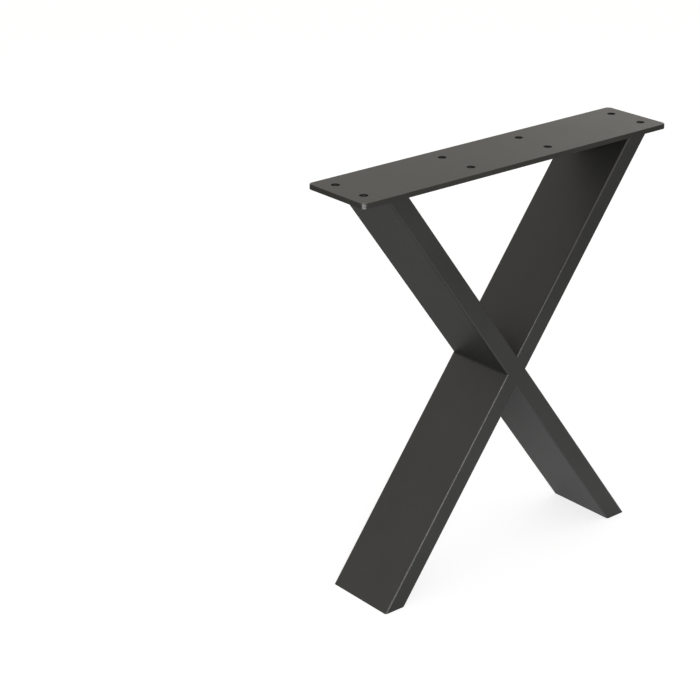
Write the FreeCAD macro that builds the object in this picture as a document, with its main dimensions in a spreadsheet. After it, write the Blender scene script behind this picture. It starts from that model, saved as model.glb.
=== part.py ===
import FreeCAD, Part
import math
import os
import Sketcher
from FreeCAD import Placement, Rotation, Vector

# X shaped table leg: a flat screw plate on two crossed rectangular steel tubes.
# One tube runs unbroken from the left foot to the right end of the plate. The other is two half
# tubes, coped round the first where they cross it. Everything is welded, and each foot is closed
# by a thin plate let into the mouth of its tube.
# Frame: X along the plate, Y across it, Z up. The origin is on the floor, under the plate's middle.

doc = FreeCAD.newDocument("x_shaped_table_leg")

# Driving dimensions, in millimetres

SIZES = (
    ("overall_height", 430, "floor to the top of the plate"),
    ("plate_length", 400, "screw plate, end to end"),
    ("plate_thickness", 5, "screw plate"),
    ("plate_corner_radius", 5, "upright corners of the screw plate"),
    ("plate_edge_round", 0.5, "eased rim of the plate's top face"),
    ("screw_hole_diameter", 8.5, "plain hole for an 8 mm screw"),
    ("outer_row_inset", 17, "outer hole rows, in from the plate's ends"),
    ("inner_row_spacing", 102, "between the inner hole rows, along the plate"),
    ("row_width", 40, "between the two holes of a row, across the plate"),
    ("plate_overhang", 30, "each end of the plate, beyond the outer face of the tube under it"),
    ("tube_side", 20, "narrow side of the tube"),
    ("tube_depth", 80, "wide side of the tube, front to back"),
    ("tube_wall", 1.5, "wall of the tube"),
    ("tube_inner_radius", 0.5, "corner radius inside the tube"),
    ("foot_plate_thickness", 3, "plate let into the mouth of each foot"),
    ("plate_weld_leg", 3, "leg of the weld beads under the plate"),
    ("crossing_weld_leg", 1.5, "leg of the weld beads at the crossing"),
    ("weld_crown", 0.2, "how far the middle of a bead's face swells out"),
)

sizes = doc.addObject("Spreadsheet::Sheet", "sizes")
for row, (alias, number, meaning) in enumerate(SIZES, start=1):
    sizes.set("A" + str(row), meaning)
    sizes.set("B" + str(row), str(number))
    sizes.setAlias("B" + str(row), alias)
doc.recompute()

# Layout: sizes that follow from the driving ones

LAYOUT = (
    ("App::PropertyFloat", "tube_room", "sizes.overall_height - sizes.plate_thickness"),
    ("App::PropertyFloat", "half_spread", "sizes.plate_length / 2 - sizes.plate_overhang"),
    ("App::PropertyAngle", "lean",
     "acos(sizes.tube_side / sqrt(4 * half_spread ^ 2 + tube_room ^ 2))"
     " - atan(tube_room / (2 * half_spread))"),
    ("App::PropertyFloat", "cut_width", "sizes.tube_side / cos(lean)"),
    ("App::PropertyFloat", "half_run", "half_spread - cut_width / 2"),
    ("App::PropertyFloat", "half_height", "tube_room / 2"),
    ("App::PropertyFloat", "half_tube", "half_height / cos(lean)"),
    ("App::PropertyFloat", "outer_radius", "sizes.tube_inner_radius + sizes.tube_wall"),
    ("App::PropertyFloat", "inner_side", "sizes.tube_side - 2 * sizes.tube_wall"),
    ("App::PropertyFloat", "inner_depth", "sizes.tube_depth - 2 * sizes.tube_wall"),
    ("App::PropertyFloat", "bead_length", "sizes.tube_depth - 2 * outer_radius"),
    ("App::PropertyFloat", "foot_plate_rise", "sizes.foot_plate_thickness / 2"),
    ("App::PropertyFloat", "foot_plate_run", "half_run - foot_plate_rise * tan(lean)"),
    ("App::PropertyFloat", "half_foot_plate", "foot_plate_rise / cos(lean)"),
    ("App::PropertyFloat", "plate_width", "sizes.tube_depth"),
    ("App::PropertyFloat", "outer_row_reach", "sizes.plate_length / 2 - sizes.outer_row_inset"),
    ("App::PropertyFloat", "inner_row_reach", "sizes.inner_row_spacing / 2"),
    ("App::PropertyFloat", "hole_reach", "sizes.row_width / 2"),
)

layout = doc.addObject("App::VarSet", "layout")
for kind, name, expression in LAYOUT:
    layout.addProperty(kind, name)
    layout.setExpression(name, expression)
doc.recompute()

Y_TURN = Vector(0, 1, 0)
Y_BACK_TURN = Vector(0, -1, 0)
START = 1
END = 2
CENTRE = 3
ORIGIN = (-1, 1)
X_AXIS = -1


def measure(owner, expression):
    """Number that an expression gives with the sizes as they stand."""
    result = owner.evalExpression(expression)
    return getattr(result, "Value", result)


def origin_plane(body, role):
    for feature in body.Origin.OriginFeatures:
        if feature.Role == role:
            return feature


def new_sketch(body, name, role):
    sketch = body.newObject("Sketcher::SketchObject", name)
    sketch.AttachmentSupport = [(origin_plane(body, role), "")]
    sketch.MapMode = "FlatFace"
    return sketch


def bind(sketch, name, expression, kind, *elements):
    """Dimension of a sketch that follows an expression."""
    index = sketch.addConstraint(Sketcher.Constraint(kind, *elements, measure(sketch, expression)))
    sketch.renameConstraint(index, name)
    sketch.setExpression("Constraints." + name, expression)


def rounded_rectangle(sketch, label, width, depth, radius):
    """Rectangle round the origin with equal round corners: arcs and lines in turn."""
    corner = measure(sketch, radius)
    flat_x = measure(sketch, width) / 2 - corner
    flat_y = measure(sketch, depth) / 2 - corner
    centres = [Vector(flat_x, flat_y), Vector(-flat_x, flat_y),
               Vector(-flat_x, -flat_y), Vector(flat_x, -flat_y)]
    quarter = math.pi / 2
    arcs = []
    for turn, centre in enumerate(centres):
        circle = Part.Circle(centre, Vector(0, 0, 1), corner)
        arc = Part.ArcOfCircle(circle, turn * quarter, (turn + 1) * quarter)
        arcs.append(sketch.addGeometry(arc))
    sides = []
    for turn, arc in enumerate(arcs):
        following = arcs[(turn + 1) % len(arcs)]
        ends = (sketch.getPoint(arc, END), sketch.getPoint(following, START))
        sides.append(sketch.addGeometry(Part.LineSegment(*ends)))
    for turn, side in enumerate(sides):
        following = arcs[(turn + 1) % len(arcs)]
        sketch.addConstraint(Sketcher.Constraint("Tangent", arcs[turn], END, side, START))
        sketch.addConstraint(Sketcher.Constraint("Tangent", side, END, following, START))
    top, left, bottom, right = sides
    for side in (top, bottom):
        sketch.addConstraint(Sketcher.Constraint("Horizontal", side))
    for side in (left, right):
        sketch.addConstraint(Sketcher.Constraint("Vertical", side))
    for arc in arcs[1:]:
        sketch.addConstraint(Sketcher.Constraint("Equal", arcs[0], arc))
    sketch.addConstraint(Sketcher.Constraint("Symmetric", arcs[0], CENTRE, arcs[2], CENTRE, *ORIGIN))
    bind(sketch, label + "_width", width, "DistanceX", left, START, right, START)
    bind(sketch, label + "_depth", depth, "DistanceY", bottom, START, top, START)
    bind(sketch, label + "_radius", radius, "Radius", arcs[0])


def closed_outline(sketch, points):
    """Straight sides through the points, joined at their ends."""
    sides = []
    for count, point in enumerate(points, start=1):
        following = points[count % len(points)]
        sides.append(sketch.addGeometry(Part.LineSegment(point, following)))
    for count, side in enumerate(sides, start=1):
        following = sides[count % len(sides)]
        sketch.addConstraint(Sketcher.Constraint("Coincident", side, END, following, START))
    return sides


def from_origin(sketch, name, expression, kind, item, point, sign):
    """Distance of a point from the origin, written so that it is never negative."""
    elements = (*ORIGIN, item, point) if sign > 0 else (item, point, *ORIGIN)
    bind(sketch, name, expression, kind, *elements)


def mitre(body, name, level, slope, ends):
    """Cut a leaning bar level, at a distance along it from the origin, at one end or at both.

    In the bar's own frame the level cut slants by the lean, and slope says which way.
    """
    reach = "sizes.tube_side"
    climb = reach + " * tan(layout.lean)"
    low = level + " - " + climb
    high = level + " + " + climb
    beyond = level + " + 2 * " + climb
    sketch = new_sketch(body, name + "_outline", "XZ_Plane")
    side_reach = measure(sketch, reach)
    for end in ends:
        across = slope * end
        heights = [measure(sketch, expression) for expression in (low, high, beyond)]
        points = [Vector(-across * side_reach, end * heights[0]),
                  Vector(across * side_reach, end * heights[1]),
                  Vector(across * side_reach, end * heights[2]),
                  Vector(-across * side_reach, end * heights[2])]
        slant, inner, far, outer = closed_outline(sketch, points)
        sketch.addConstraint(Sketcher.Constraint("Vertical", inner))
        sketch.addConstraint(Sketcher.Constraint("Vertical", outer))
        sketch.addConstraint(Sketcher.Constraint("Horizontal", far))
        mark = "top_" if end > 0 else "bottom_"
        from_origin(sketch, mark + "near_reach", reach, "DistanceX", slant, START, -across)
        from_origin(sketch, mark + "far_reach", reach, "DistanceX", inner, START, across)
        from_origin(sketch, mark + "low", low, "DistanceY", slant, START, end)
        from_origin(sketch, mark + "high", high, "DistanceY", inner, START, end)
        from_origin(sketch, mark + "beyond", beyond, "DistanceY", far, START, end)
    cut = body.newObject("PartDesign::Pocket", name)
    cut.Profile = sketch
    cut.Type = "ThroughAll"
    cut.SideType = "Symmetric"


def lean_bar(body, axis, angle):
    """Turn a bar's frame about Y, by an angle that follows an expression."""
    body.Placement = Placement(Vector(), Rotation(axis, measure(body, angle)))
    body.setExpression("Placement.Rotation.Angle", angle)


def place(body, x, z):
    body.setExpression("Placement.Base.x", x)
    body.setExpression("Placement.Base.z", z)


def tube_section(body):
    """Section of the tube: outer and inner outline, square to its length."""
    section = new_sketch(body, body.Name + "_section", "XY_Plane")
    rounded_rectangle(section, "outer", "sizes.tube_side", "sizes.tube_depth", "layout.outer_radius")
    rounded_rectangle(section, "inner", "layout.inner_side", "layout.inner_depth",
                      "sizes.tube_inner_radius")
    return section


def stock_length(level):
    """Half length of a bar before its ends are cut."""
    return level + " + sizes.tube_side * tan(layout.lean)"


def make_mounting_plate():
    body = doc.addObject("PartDesign::Body", "mounting_plate")
    outline = new_sketch(body, "plate_outline", "XY_Plane")
    rounded_rectangle(outline, "plate", "sizes.plate_length", "layout.plate_width",
                      "sizes.plate_corner_radius")
    sheet = body.newObject("PartDesign::Pad", "plate_sheet")
    sheet.Profile = outline
    sheet.setExpression("Length", "sizes.plate_thickness")
    doc.recompute()

    rim = ["Edge" + str(number) for number, edge in enumerate(sheet.Shape.Edges, start=1)
           if edge.BoundBox.ZMin > sheet.Shape.CenterOfMass.z]
    eased = body.newObject("PartDesign::Fillet", "plate_rim")
    eased.Base = (sheet, rim)
    eased.setExpression("Radius", "sizes.plate_edge_round")

    pattern = new_sketch(body, "screw_pattern", "XY_Plane")
    radius = measure(pattern, "sizes.screw_hole_diameter / 2")
    circles = []
    for rows in ("outer", "inner"):
        row_reach = "layout." + rows + "_row_reach"
        hole_reach = "layout.hole_reach"
        for along in (-1, 1):
            for across in (-1, 1):
                centre = Vector(along * measure(pattern, row_reach), across * measure(pattern, hole_reach))
                hole = pattern.addGeometry(Part.Circle(centre, Vector(0, 0, 1), radius))
                mark = rows + "_" + str(len(circles))
                from_origin(pattern, mark + "_along", row_reach, "DistanceX", hole, CENTRE, along)
                from_origin(pattern, mark + "_across", hole_reach, "DistanceY", hole, CENTRE, across)
                circles.append(hole)
    for hole in circles[1:]:
        pattern.addConstraint(Sketcher.Constraint("Equal", circles[0], hole))
    bind(pattern, "hole_diameter", "sizes.screw_hole_diameter", "Diameter", circles[0])
    holes = body.newObject("PartDesign::Pocket", "screw_holes")
    holes.Profile = pattern
    holes.Type = "ThroughAll"
    holes.SideType = "Symmetric"
    place(body, "0", "layout.tube_room")
    return body


def make_through_tube():
    body = doc.addObject("PartDesign::Body", "through_tube")
    tube = body.newObject("PartDesign::Pad", "through_tube_stock")
    tube.Profile = tube_section(body)
    tube.SideType = "Symmetric"
    tube.setExpression("Length", "2 * (" + stock_length("layout.half_tube") + ")")
    mitre(body, "through_tube_mitres", "layout.half_tube", 1, (1, -1))
    lean_bar(body, Y_TURN, "layout.lean")
    place(body, "0", "layout.half_height")
    return body


def make_half_tube(name, axis, angle):
    """Half tube from the crossing outwards: coped round the through tube and cut level at its end."""
    body = doc.addObject("PartDesign::Body", name)
    tube = body.newObject("PartDesign::Pad", name + "_stock")
    tube.Profile = tube_section(body)
    tube.setExpression("Length", stock_length("layout.half_tube"))
    mitre(body, name + "_mitre", "layout.half_tube", -1, (1,))

    cope_outline = new_sketch(body, name + "_cope_outline", "XY_Plane")
    crossing_angle = "2 * layout.lean"
    turn = Rotation(Y_TURN, measure(cope_outline, crossing_angle))
    cope_outline.AttachmentOffset = Placement(Vector(), turn)
    cope_outline.setExpression("AttachmentOffset.Rotation.Angle", crossing_angle)
    rounded_rectangle(cope_outline, "cope", "sizes.tube_side", "sizes.tube_depth", "layout.outer_radius")
    cope = body.newObject("PartDesign::Pocket", name + "_cope")
    cope.Profile = cope_outline
    cope.Type = "ThroughAll"
    cope.SideType = "Symmetric"

    lean_bar(body, axis, angle)
    place(body, "0", "layout.half_height")
    return body


def make_foot_plate(name, axis, slope, x):
    """Plate that fills the mouth of a tube, flush with the floor."""
    body = doc.addObject("PartDesign::Body", name)
    section = new_sketch(body, name + "_section", "XY_Plane")
    rounded_rectangle(section, "mouth", "layout.inner_side", "layout.inner_depth",
                      "sizes.tube_inner_radius")
    bar = body.newObject("PartDesign::Pad", name + "_stock")
    bar.Profile = section
    bar.SideType = "Symmetric"
    bar.setExpression("Length", "2 * (" + stock_length("layout.half_foot_plate") + ")")
    mitre(body, name + "_faces", "layout.half_foot_plate", slope, (1, -1))
    lean_bar(body, axis, "layout.lean")
    place(body, x, "layout.foot_plate_rise")
    return body


def make_weld(name, leg, half_opening, axis, angle, x, z):
    """Bead along Y in the corner between two faces, with its own X out of the corner."""
    body = doc.addObject("PartDesign::Body", name)
    profile = new_sketch(body, name + "_profile", "XZ_Plane")
    half_chord = leg + " * sin(" + half_opening + ")"
    face_radius = "(" + half_chord + ") ^ 2 / (2 * sizes.weld_crown) + sizes.weld_crown / 2"
    toe_x = measure(profile, leg + " * cos(" + half_opening + ")")
    toe_z = measure(profile, half_chord)
    crown_x = toe_x + measure(profile, "sizes.weld_crown")
    upper_toe = Vector(toe_x, toe_z)
    lower_toe = Vector(toe_x, -toe_z)
    root = Vector()
    upper = profile.addGeometry(Part.LineSegment(root, upper_toe))
    lower = profile.addGeometry(Part.LineSegment(root, lower_toe))
    face = profile.addGeometry(Part.Arc(lower_toe, Vector(crown_x, 0), upper_toe))
    profile.addConstraint(Sketcher.Constraint("Coincident", upper, START, *ORIGIN))
    profile.addConstraint(Sketcher.Constraint("Coincident", lower, START, *ORIGIN))
    profile.addConstraint(Sketcher.Constraint("Coincident", lower, END, face, START))
    profile.addConstraint(Sketcher.Constraint("Coincident", upper, END, face, END))
    profile.addConstraint(Sketcher.Constraint("Equal", upper, lower))
    profile.addConstraint(Sketcher.Constraint("PointOnObject", face, CENTRE, X_AXIS))
    bind(profile, "leg", leg, "Distance", upper)
    bind(profile, "face_radius", face_radius, "Radius", face)
    bind(profile, "half_opening_sine", half_chord, "DistanceY", *ORIGIN, upper, END)
    bead = body.newObject("PartDesign::Pad", name + "_bead")
    bead.Profile = profile
    bead.SideType = "Symmetric"
    bead.setExpression("Length", "layout.bead_length")
    lean_bar(body, axis, angle)
    place(body, x, z)
    return body


def make_plate_welds():
    """Beads under the plate, in the wide corner outside each tube and the sharp one inside it."""
    wide = "(90 deg + layout.lean) / 2"
    sharp = "(90 deg - layout.lean) / 2"
    inner_x = "(layout.half_spread - layout.cut_width)"
    beads = (
        ("right_outer_plate_weld", wide, wide, "layout.half_spread"),
        ("right_inner_plate_weld", sharp, "180 deg - " + sharp, inner_x),
        ("left_outer_plate_weld", wide, "180 deg - " + wide, "-layout.half_spread"),
        ("left_inner_plate_weld", sharp, sharp, "-" + inner_x),
    )
    return [make_weld(name, "sizes.plate_weld_leg", half_opening, Y_TURN, angle, x, "layout.tube_room")
            for name, half_opening, angle, x in beads]


def make_crossing_welds():
    """Beads in the four corners where the half tubes meet the through tube."""
    side = "90 deg - layout.lean"
    side_reach = "layout.cut_width / 2"
    rise = "sizes.tube_side / 2 / sin(layout.lean)"
    middle = "layout.half_height"
    beads = (
        ("right_crossing_weld", side, Y_TURN, "0 deg", side_reach, middle),
        ("left_crossing_weld", side, Y_TURN, "180 deg", "-" + side_reach, middle),
        ("upper_crossing_weld", "layout.lean", Y_BACK_TURN, "90 deg", "0", middle + " + " + rise),
        ("lower_crossing_weld", "layout.lean", Y_TURN, "90 deg", "0", middle + " - " + rise),
    )
    return [make_weld(name, "sizes.crossing_weld_leg", half_opening, axis, angle, x, z)
            for name, half_opening, axis, angle, x, z in beads]


pieces = [
    make_mounting_plate(),
    make_through_tube(),
    make_half_tube("upper_half_tube", Y_BACK_TURN, "layout.lean"),
    make_half_tube("lower_half_tube", Y_TURN, "180 deg - layout.lean"),
    make_foot_plate("left_foot_plate", Y_TURN, 1, "-layout.foot_plate_run"),
    make_foot_plate("right_foot_plate", Y_BACK_TURN, -1, "layout.foot_plate_run"),
    *make_plate_welds(),
    *make_crossing_welds(),
]
doc.recompute()

# Nothing is written unless every feature is sound

for item in doc.Objects:
    if "Invalid" in item.State or "Error" in item.State:
        raise RuntimeError(item.Name + " failed: " + str(item.State))
    if item.TypeId == "PartDesign::Pocket" and item.Shape.Volume >= item.BaseFeature.Shape.Volume:
        raise RuntimeError(item.Name + " cuts nothing")
for piece in pieces:
    if piece.Shape.isNull() or not piece.Shape.isValid() or len(piece.Shape.Solids) != 1:
        raise RuntimeError(piece.Label + " is not one sound solid")

os.makedirs("parts", exist_ok=True)
for piece in pieces:
    piece.Shape.exportStep("parts/" + piece.Label + ".step")
    box = piece.Shape.BoundBox
    print(piece.Label, round(piece.Shape.Volume), "mm3, from",
          [round(corner, 2) for corner in (box.XMin, box.YMin, box.ZMin)], "to",
          [round(corner, 2) for corner in (box.XMax, box.YMax, box.ZMax)])
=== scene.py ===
import bpy
import math
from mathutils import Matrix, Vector


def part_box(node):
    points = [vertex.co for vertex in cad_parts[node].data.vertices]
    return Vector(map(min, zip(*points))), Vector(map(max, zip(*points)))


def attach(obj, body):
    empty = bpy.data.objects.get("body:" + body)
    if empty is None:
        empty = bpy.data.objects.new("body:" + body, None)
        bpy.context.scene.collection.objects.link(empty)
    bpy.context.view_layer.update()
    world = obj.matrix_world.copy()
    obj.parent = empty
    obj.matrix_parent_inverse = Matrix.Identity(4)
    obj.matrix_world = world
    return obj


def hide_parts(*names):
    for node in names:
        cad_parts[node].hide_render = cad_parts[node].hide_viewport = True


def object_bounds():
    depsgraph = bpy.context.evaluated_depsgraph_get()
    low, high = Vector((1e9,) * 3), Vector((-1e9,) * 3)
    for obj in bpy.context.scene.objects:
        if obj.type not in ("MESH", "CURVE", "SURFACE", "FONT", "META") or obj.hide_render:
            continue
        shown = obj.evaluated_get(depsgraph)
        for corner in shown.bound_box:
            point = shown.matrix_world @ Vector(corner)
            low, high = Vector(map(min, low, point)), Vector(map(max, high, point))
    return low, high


# X shaped table leg: black powder-coated steel on a pale studio floor.

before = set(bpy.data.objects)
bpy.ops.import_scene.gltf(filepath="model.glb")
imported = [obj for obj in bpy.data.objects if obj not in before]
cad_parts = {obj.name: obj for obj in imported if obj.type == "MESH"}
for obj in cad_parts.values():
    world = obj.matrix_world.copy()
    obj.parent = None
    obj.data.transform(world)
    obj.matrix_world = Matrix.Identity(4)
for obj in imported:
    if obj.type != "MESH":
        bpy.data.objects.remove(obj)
cadLow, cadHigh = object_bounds()
print("frame loaded:", len(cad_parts), "nodes")


class Wire:
    def __init__(self, tree, socket):
        self.tree = tree
        self.socket = socket

    def add(self, kind, settings, sockets, output=0):
        node = self.tree.nodes.new(kind)
        for name, value in settings.items():
            if name == "stops":  # a new ramp already has its two stops
                for stop, (place, colour) in zip(node.color_ramp.elements, value):
                    stop.position = place
                    stop.color = (*colour, 1)
            else:
                setattr(node, name, value)
        for key, value in sockets.items():
            if isinstance(value, Wire):
                self.tree.links.new(value.socket, node.inputs[key])
            else:
                node.inputs[key].default_value = value
        return Wire(self.tree, node.outputs[output] if node.outputs else None)

    def maths(self, operation, first, second=0.0):
        return self.add("ShaderNodeMath", {"operation": operation}, {0: first, 1: second})

    def __add__(self, other):
        return self.maths("ADD", self, other)

    def __radd__(self, other):
        return self.maths("ADD", other, self)

    def __sub__(self, other):
        return self.maths("SUBTRACT", self, other)

    def __rsub__(self, other):
        return self.maths("SUBTRACT", other, self)

    def __mul__(self, other):
        return self.maths("MULTIPLY", self, other)

    def __rmul__(self, other):
        return self.maths("MULTIPLY", other, self)

    def __truediv__(self, other):
        return self.maths("DIVIDE", self, other)

    def __rtruediv__(self, other):
        return self.maths("DIVIDE", other, self)


def newTree(block):  # an empty node tree, as a Wire to build on
    block.use_nodes = True
    block.node_tree.nodes.clear()
    return Wire(block.node_tree, None)


def noise(tree, where, perMetre, detail=2.0):
    settings = {"noise_dimensions": "3D"}
    sockets = {"Vector": where, "Scale": perMetre, "Detail": detail}
    return tree.add("ShaderNodeTexNoise", settings, sockets)


tubeShape = {
    "side": 0.020,     # narrow side of the tube
    "round": 0.002,    # its outer corner radius
}

coatLook = {
    "dark": (0.0080, 0.0080, 0.0077),
    "light": (0.0215, 0.0215, 0.0208),
    "darkBelow": 0.35,          # the tone runs from dark to light between these two
    "lightAbove": 0.65,
    "cloudShare": 0.4,          # of the tone; the grain has the rest
    "cloudPerMetre": 14.0,      # slow change of tone over a tube
    "cloudDetail": 4.0,
    "peelPerMetre": 260.0,      # waves of the melted powder, about 4 mm
    "peelHeight": 0.000040,
    "grainPerMetre": 1500.0,    # fine texture, under a millimetre
    "grainDetail": 3.0,
    "grainHeight": 0.000040,
    "roughness": 0.47,
    "roughnessSpread": 0.08,
    "index": 1.46,
    "round": tubeShape["round"],    # radius of the edges that are rubbed
    "roundRoughness": 0.28,         # they are smoother than the faces
    "roundPolish": 0.30,            # and a little glossier
}


# halfX and halfY are half the piece's size, and are given where its rounded edges are rubbed
def powderCoat(name, look, halfX=None, halfY=None):
    material = bpy.data.materials.new(name)
    tree = newTree(material)
    where = tree.add("ShaderNodeTexCoord", {}, {}, output="Object")
    cloud = noise(tree, where, look["cloudPerMetre"], look["cloudDetail"])
    peel = noise(tree, where, look["peelPerMetre"])
    grain = noise(tree, where, look["grainPerMetre"], look["grainDetail"])
    ends = [(look["darkBelow"], look["dark"]), (look["lightAbove"], look["light"])]
    mix = cloud * look["cloudShare"] + grain * (1 - look["cloudShare"])
    tone = tree.add("ShaderNodeValToRGB", {"stops": ends}, {"Fac": mix})
    rough = look["roughness"] + look["roughnessSpread"] * (cloud + grain - 1.0)
    rubbed = 0.0
    if halfY:
        turned = {}      # how far the surface has turned along each axis, from 0 to 1
        for axis, half in (("X", halfX), ("Y", halfY)):
            if half:
                place = tree.add("ShaderNodeSeparateXYZ", {}, {"Vector": where}, output=axis)
                past = (tree.maths("ABSOLUTE", place) - (half - look["round"])) / look["round"]
                turned[axis] = tree.add("ShaderNodeClamp", {}, {"Value": past})
        other = turned["X"] * turned["X"] if halfX else 1 - turned["Y"] * turned["Y"]
        rubbed = 4 * turned["Y"] * turned["Y"] * other      # 1 halfway round the edge, 0 on the faces
        rough = rough - (look["roughness"] - look["roundRoughness"]) * rubbed
    height = peel * look["peelHeight"] + grain * look["grainHeight"]
    normal = tree.add("ShaderNodeBump", {}, {"Height": height, "Distance": 1.0, "Strength": 1.0})
    shader = tree.add("ShaderNodeBsdfPrincipled", {}, {
        "Base Color": tone, "Roughness": rough, "Normal": normal, "IOR": look["index"],
        "Coat Weight": rubbed * look["roundPolish"], "Coat Roughness": look["roundRoughness"]})
    tree.add("ShaderNodeOutputMaterial", {}, {"Surface": shader})
    return material


cameraPlace = {
    "azimuth": -39.856,    # degrees; 0 looks along +Y
    "elevation": 22.823,
    "aim": (-0.05629, 0.15095, 0.18962),
    "distance": 2.0609,
    "lens": 101.23,
    "sensor": 36.0,
    "seesTo": 50.0,        # metres
}


def aimFrom(thing, place, aim):  # puts a camera or lamp round the aim, and turns it there
    around, up = math.radians(place["azimuth"]), math.radians(place["elevation"])
    back = Vector((math.sin(around) * math.cos(up), -math.cos(around) * math.cos(up), math.sin(up)))
    thing.location = Vector(aim) + back * place["distance"]
    thing.rotation_euler = (-back).to_track_quat("-Z", "Y").to_euler()
    bpy.context.scene.collection.objects.link(thing)


def makeCamera(place):
    data = bpy.data.cameras.new("photoCamera")
    data.lens = place["lens"]
    data.sensor_width = place["sensor"]
    data.clip_end = place["seesTo"]
    camera = bpy.data.objects.new("photoCamera", data)
    aimFrom(camera, place, place["aim"])
    bpy.context.scene.camera = camera


makeCamera(cameraPlace)
bpy.context.scene.view_settings.view_transform = "Standard"
print("camera ready")


roomLook = {
    "wall": (1.0, 0.965, 0.90),      # the room's light, and its image in the gloss; the camera sees white
    "lit": 0.53,                     # strength of that light; where the room is seen, it is 1
    "floor": (0.58, 0.595, 0.623),
    "floorSize": 40.0,
    "floorGrainPerMetre": 900.0,
    "floorGrainHeight": 0.00002,
    "floorShown": 0.69,              # added to the lit floor where it is seen, so that it comes out white
    "lightPoolAt": (0.14, -0.28, 0.0),    # a painted pool of light: in the gloss it is added only round this spot of the floor, by this share, and it fades out between the two radii
    "lightPoolShown": 0.64,               # by this share, and it fades out between the two radii
    "lightPoolInner": 0.22,
    "lightPoolOuter": 0.53,
}


def seenRays(tree, gloss=1.0):  # 1 for the rays that show the background, as it is or in the gloss
    camera, glossy, clear = [
        tree.add("ShaderNodeLightPath", {}, {}, output="Is " + kind + " Ray")
        for kind in ("Camera", "Glossy", "Transmission")]
    return tree.maths("MAXIMUM", tree.maths("MAXIMUM", camera, glossy * gloss), clear)


def makeRoom(look):
    world = bpy.data.worlds.new("room")
    bpy.context.scene.world = world
    tree = newTree(world)
    strength = look["lit"] + (1 - look["lit"]) * seenRays(tree)
    straight = tree.add("ShaderNodeLightPath", {}, {}, output="Is Camera Ray")
    colour = tree.add("ShaderNodeMix", {"data_type": "RGBA"}, {  # 6 and 7 are its two colours
        "Factor": straight, 6: (*look["wall"], 1), 7: (1.0, 1.0, 1.0, 1)}, output=2)
    shader = tree.add("ShaderNodeBackground", {}, {"Color": colour, "Strength": strength})
    tree.add("ShaderNodeOutputWorld", {}, {"Surface": shader})


def floorPaint(look):
    material = bpy.data.materials.new("floorPaint")
    tree = newTree(material)
    where = tree.add("ShaderNodeTexCoord", {}, {}, output="Object")
    grain = noise(tree, where, look["floorGrainPerMetre"])
    normal = tree.add("ShaderNodeBump", {}, {
        "Height": grain * look["floorGrainHeight"], "Distance": 1.0, "Strength": 1.0})
    paint = tree.add("ShaderNodeBsdfDiffuse", {}, {"Color": (*look["floor"], 1), "Normal": normal})
    away = tree.add("ShaderNodeVectorMath", {"operation": "DISTANCE"}, {
        0: where, 1: look["lightPoolAt"]}, output="Value")
    # painted pool of light on the floor, seen only in the gloss
    lightPool = tree.add("ShaderNodeMapRange", {"interpolation_type": "SMOOTHSTEP"}, {
        "Value": away, "From Min": look["lightPoolInner"], "From Max": look["lightPoolOuter"],
        "To Min": 1.0, "To Max": 0.0})
    seen = seenRays(tree, gloss=lightPool * look["lightPoolShown"])
    shown = tree.add("ShaderNodeEmission", {}, {"Strength": look["floorShown"] * seen})
    both = tree.add("ShaderNodeAddShader", {}, {0: paint, 1: shown})
    tree.add("ShaderNodeOutputMaterial", {}, {"Surface": both})
    return material


def makeFloor(look):
    half = look["floorSize"] / 2
    corners = [(-half, -half, 0), (half, -half, 0), (half, half, 0), (-half, half, 0)]
    mesh = bpy.data.meshes.new("floor")
    mesh.from_pydata(corners, [], [(0, 1, 2, 3)])
    mesh.materials.append(floorPaint(look))
    floor = bpy.data.objects.new("floor", mesh)
    bpy.context.scene.collection.objects.link(floor)


softBoxes = {  # degrees round and up from the leg's middle, metres, and brightness next to a white of 1
    "keyBox": {
        "azimuth": -40, "elevation": 24, "distance": 2.4,
        "wide": 0.50, "high": 0.50, "radiance": 18.5},
    "lowBox": {  # long and near the floor; it is seen in the plate's rounded corner
        "azimuth": -42, "elevation": -8.0, "distance": 1.05,
        "wide": 2.1, "high": 0.08, "radiance": 11.0},
    "backBox": {
        "azimuth": 116, "elevation": 20, "distance": 1.55,
        "wide": 0.80, "high": 0.80, "radiance": 0.5},
}


def makeSoftBox(name, box):
    data = bpy.data.lights.new(name, "AREA")
    data.shape = "RECTANGLE"
    data.size = box["wide"]
    data.size_y = box["high"]
    data.energy = box["radiance"] * math.pi * box["wide"] * box["high"]
    lamp = bpy.data.objects.new(name, data)
    lamp.visible_camera = False      # so that no view looks into one
    aimFrom(lamp, box, (0, 0, cadHigh[2] / 2))


makeRoom(roomLook)
makeFloor(roomLook)
for name, box in softBoxes.items():
    makeSoftBox(name, box)
print("room lit")


plateLitCoatLook = {     # the tubes' coat painted lighter and a touch warmer than the tubes: painted light for what the plate's top catches
    **coatLook,
    "dark": (0.0150, 0.0144, 0.0126),
    "light": (0.0290, 0.0280, 0.0256),
    "roughness": 0.45,
    "index": 1.36,
    "round": 0.005,
    "roundRoughness": 0.20,
    "roundPolish": 0.80,
}
# the same coat painted darker: painted shade for the creases the beads fill
weldShadedCoatLook = {
    **coatLook,
    "dark": (0.0050, 0.0050, 0.0048),
    "light": (0.0150, 0.0150, 0.0145),
    "roughness": 0.85,
}
throughLow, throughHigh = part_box("through_tube")
plateLow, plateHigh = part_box("mounting_plate")
finishes = {  # by the ends of the nodes' names
    "mounting_plate": powderCoat("plateLitCoat", plateLitCoatLook, plateHigh[0], plateHigh[1]),
    "tube": powderCoat("tubeCoat", coatLook, halfY=throughHigh[1]),
    "foot_plate": powderCoat("footCoat", coatLook),
    "weld": powderCoat("weldShadedCoat", weldShadedCoatLook),
}
for name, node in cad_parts.items():
    finish = next(coat for part, coat in finishes.items() if name.endswith(part))
    for place in node.material_slots:
        place.material = finish
print("coats on")


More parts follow.
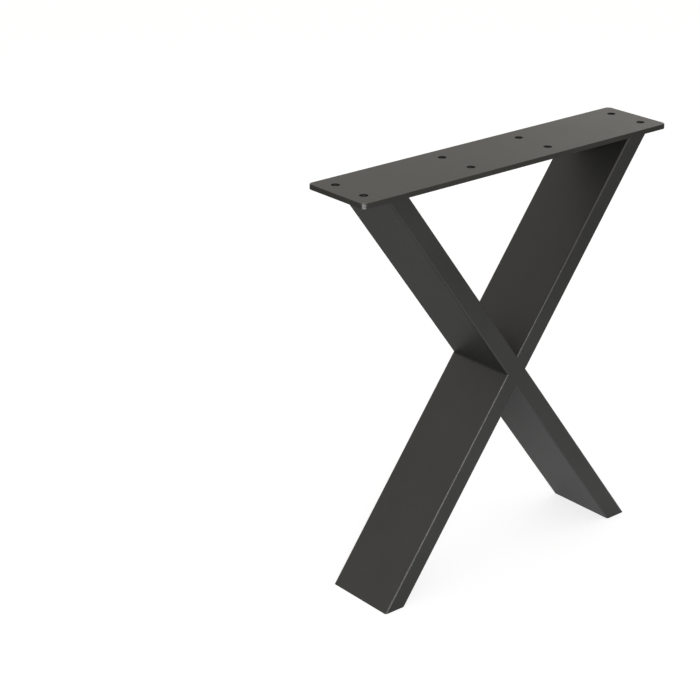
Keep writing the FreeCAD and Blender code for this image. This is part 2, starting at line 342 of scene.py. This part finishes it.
beadShape = {
    "plateLeg": 0.0030,       # bead's side on each of the two faces it joins
    "crossingLeg": 0.0015,
    "crown": 0.00025,
    "pitch": 0.0014,          # one ripple of the melt to the next
    "ripple": 0.00022,
    "bow": 0.0007,            # how far a ripple's middle lies past its ends
    "wander": 0.45,           # unevenness of the pitch
    "wanderPerMetre": 330.0,
    "swell": 0.10,            # unevenness of the width
    "swellPerMetre": 120.0,
    "endRound": 0.0025,       # length of the rounding at each end
    "stepsPerPitch": 7,
    "stepsAcross": 12,
}


def weldBeadTree():  # a rippled fillet along Y, its root in a corner, closed at both ends
    group = bpy.data.node_groups.new("weldBead", "GeometryNodeTree")
    tree = Wire(group, None)
    lengths = ("Length", "Leg", "Crown", "Pitch", "Ripple", "Bow", "End Round")
    others = ("Half Opening", "Wander", "Wander Per Metre", "Swell", "Swell Per Metre", "Turn", "Seed")
    kinds = {
        **dict.fromkeys(lengths + others, "Float"),
        "Steps": "Int", "Across": "Int", "Corner": "Vector", "Coat": "Material"}
    for name, kind in kinds.items():
        group.interface.new_socket(name, in_out="INPUT", socket_type="NodeSocket" + kind)
    group.interface.new_socket("Bead", in_out="OUTPUT", socket_type="NodeSocketGeometry")
    size = {name: tree.add("NodeGroupInput", {}, {}, output=name) for name in kinds}

    grid = tree.add("GeometryNodeMeshGrid", {}, {
        "Size X": 1.0, "Size Y": size["Length"],
        "Vertices X": size["Across"], "Vertices Y": size["Steps"]})
    place = tree.add("GeometryNodeInputPosition", {}, {})
    across = tree.add("ShaderNodeSeparateXYZ", {}, {"Vector": place}, output="X")
    along = tree.add("ShaderNodeSeparateXYZ", {}, {"Vector": place}, output="Y")
    nearEdge = 0.4999       # the outermost columns, at 0.5, fold onto the root and close the bead there
    inside = tree.maths("LESS_THAN", tree.maths("ABSOLUTE", across), nearEdge)
    side = across / (0.5 - 1 / (size["Across"] - 1))  # minus one at one toe, one at the other
    crowned = 1 - side * side

    sample = tree.add("ShaderNodeCombineXYZ", {}, {"X": size["Seed"], "Y": along})
    drift = noise(tree, sample, size["Wander Per Metre"]) - 0.5
    fatness = noise(tree, sample, size["Swell Per Metre"]) - 0.5
    phase = (along + size["Bow"] * side * side) / size["Pitch"] + size["Wander"] * 2 * drift
    wave = tree.maths("ABSOLUTE", tree.maths("SINE", phase * math.pi))
    waveMean = 0.6          # about what it averages, so that ripples don't fatten the bead
    waveShare = 0.5         # how much the width follows the ripples
    past = tree.maths("ABSOLUTE", along) / size["End Round"] - (size["Length"] / 2 / size["End Round"] - 1)
    past = tree.maths("MAXIMUM", past, 0.0)
    taper = tree.maths("SQRT", tree.maths("MAXIMUM", 1 - past * past, 0.0))
    uneven = size["Swell"] * (2 * fatness + waveShare * wave - waveShare)
    girth = taper * (1 + uneven) * inside

    reach = size["Leg"] * tree.maths("COSINE", size["Half Opening"])
    spread = size["Leg"] * tree.maths("SINE", size["Half Opening"])
    out = girth * (reach + crowned * (size["Crown"] + size["Ripple"] * (wave - waveMean)))
    spot = tree.add("ShaderNodeCombineXYZ", {}, {"X": out, "Y": along, "Z": girth * spread * side})
    bead = tree.add("GeometryNodeSetPosition", {}, {"Geometry": grid, "Position": spot})
    joinWithin = 1e-6       # metres
    bead = tree.add("GeometryNodeMergeByDistance", {}, {"Geometry": bead, "Distance": joinWithin})
    bead = tree.add("GeometryNodeSetShadeSmooth", {}, {"Geometry": bead})
    turn = tree.add("FunctionNodeAxisAngleToRotation", {}, {"Axis": (0.0, 1.0, 0.0), "Angle": size["Turn"]})
    bead = tree.add("GeometryNodeTransform", {}, {
        "Geometry": bead, "Rotation": turn, "Translation": size["Corner"]})
    bead = tree.add("GeometryNodeRealizeInstances", {}, {"Geometry": bead})
    bead = tree.add("GeometryNodeSetMaterial", {}, {"Geometry": bead, "Material": size["Coat"]})
    tree.add("NodeGroupOutput", {}, {"Bead": bead})
    return group


def makeBead(name, group, values):
    start = bpy.data.meshes.new(name + "Start")
    maker = bpy.data.objects.new(name + "Maker", start)
    bpy.context.scene.collection.objects.link(maker)
    modifier = maker.modifiers.new("bead", "NODES")
    modifier.node_group = group
    for socket in group.interface.items_tree:
        if socket.in_out == "INPUT":
            modifier[socket.identifier] = values[socket.name]
    made = maker.evaluated_get(bpy.context.evaluated_depsgraph_get())
    mesh = bpy.data.meshes.new_from_object(made)
    bpy.data.objects.remove(maker)
    bead = bpy.data.objects.new(name, mesh)
    bpy.context.scene.collection.objects.link(bead)
    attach(bead, "root")
    return bead


halfSpread, tubeTop = throughHigh[0], plateLow[2]     # out to a tube's far edge, and up to the plate
diagonal = math.hypot(2 * halfSpread, tubeTop)
lean = math.acos(tubeShape["side"] / diagonal) - math.atan2(tubeTop, 2 * halfSpread)     # from upright
cutWidth = tubeShape["side"] / math.cos(lean)         # of a level cut through a leaning tube
beadLength = throughHigh[1] - throughLow[1] - 2 * tubeShape["round"]
allBeads = {
    "Length": beadLength,
    "Crown": beadShape["crown"],
    "Pitch": beadShape["pitch"],
    "Ripple": beadShape["ripple"],
    "Bow": beadShape["bow"],
    "Wander": beadShape["wander"],
    "Wander Per Metre": beadShape["wanderPerMetre"],
    "Swell": beadShape["swell"],
    "Swell Per Metre": beadShape["swellPerMetre"],
    "End Round": beadShape["endRound"],
    "Steps": round(beadLength / beadShape["pitch"] * beadShape["stepsPerPitch"]),
    "Across": beadShape["stepsAcross"],
    "Coat": finishes["weld"],
}

quarter = math.pi / 2
wide, sharp = (quarter + lean) / 2, (quarter - lean) / 2     # half the corners outside and inside a tube
inner, middle = halfSpread - cutWidth, tubeTop / 2
rise = tubeShape["side"] / 2 / math.sin(lean)         # from the middle of the crossing to its upper corner
underPlate, atCrossing = beadShape["plateLeg"], beadShape["crossingLeg"]
beads = {  # leg, half the corner's opening, turn about Y, and the corner
    "right_outer_plate_weld": (underPlate, wide, wide, (halfSpread, 0, tubeTop)),
    "right_inner_plate_weld": (underPlate, sharp, math.pi - sharp, (inner, 0, tubeTop)),
    "left_outer_plate_weld": (underPlate, wide, math.pi - wide, (-halfSpread, 0, tubeTop)),
    "left_inner_plate_weld": (underPlate, sharp, sharp, (-inner, 0, tubeTop)),
    "right_crossing_weld": (atCrossing, quarter - lean, 0.0, (cutWidth / 2, 0, middle)),
    "left_crossing_weld": (atCrossing, quarter - lean, math.pi, (-cutWidth / 2, 0, middle)),
    "upper_crossing_weld": (atCrossing, lean, -quarter, (0, 0, middle + rise)),
    "lower_crossing_weld": (atCrossing, lean, quarter, (0, 0, middle - rise)),
}
beadTree = weldBeadTree()
for seed, (node, (leg, halfOpening, turn, corner)) in enumerate(beads.items()):
    first, *others = node.split("_")
    name = first + "".join(map(str.title, others)) + "Bead"
    bead = makeBead(name, beadTree, {
        **allBeads, "Leg": leg, "Half Opening": halfOpening, "Turn": turn, "Corner": corner, "Seed": seed})
    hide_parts(node)
print("weld beads made:", len(beads))
